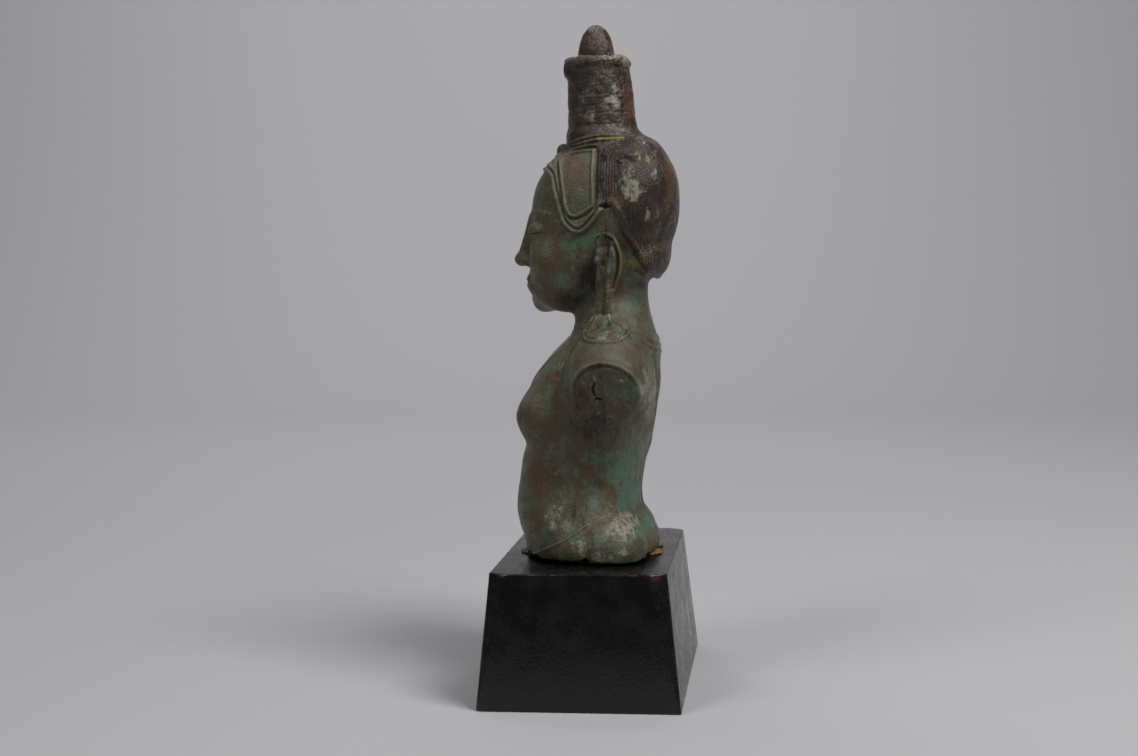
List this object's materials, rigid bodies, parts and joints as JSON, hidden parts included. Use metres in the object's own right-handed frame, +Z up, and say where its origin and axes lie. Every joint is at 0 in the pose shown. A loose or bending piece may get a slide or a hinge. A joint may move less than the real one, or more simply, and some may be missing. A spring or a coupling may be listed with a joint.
{
  "type": "bust statuette on plinth",
  "caption": "Cast bronze bust in the style of a Buddhist deity with a tall topknot and broken arms, on a tapered black wooden plinth.",
  "frame": {"origin": "middle of the plinth's underside, on the surface it stands on", "axes": "+Z up, the face looks along -Y, the figure's own left side is towards +X"},
  "size_m": [0.215, 0.152, 0.5084],
  "materials": {
    "bronze": "cast bronze with green, olive and purple-brown patina, partly glossy",
    "putty": "crumbly orange-brown filler",
    "black_paint": "wood under worn satin black paint"
  },
  "bodies": {
    "root": {"bust": "bronze", "bedding": "putty", "plinth": "black_paint"}
  },
  "joints": []
}
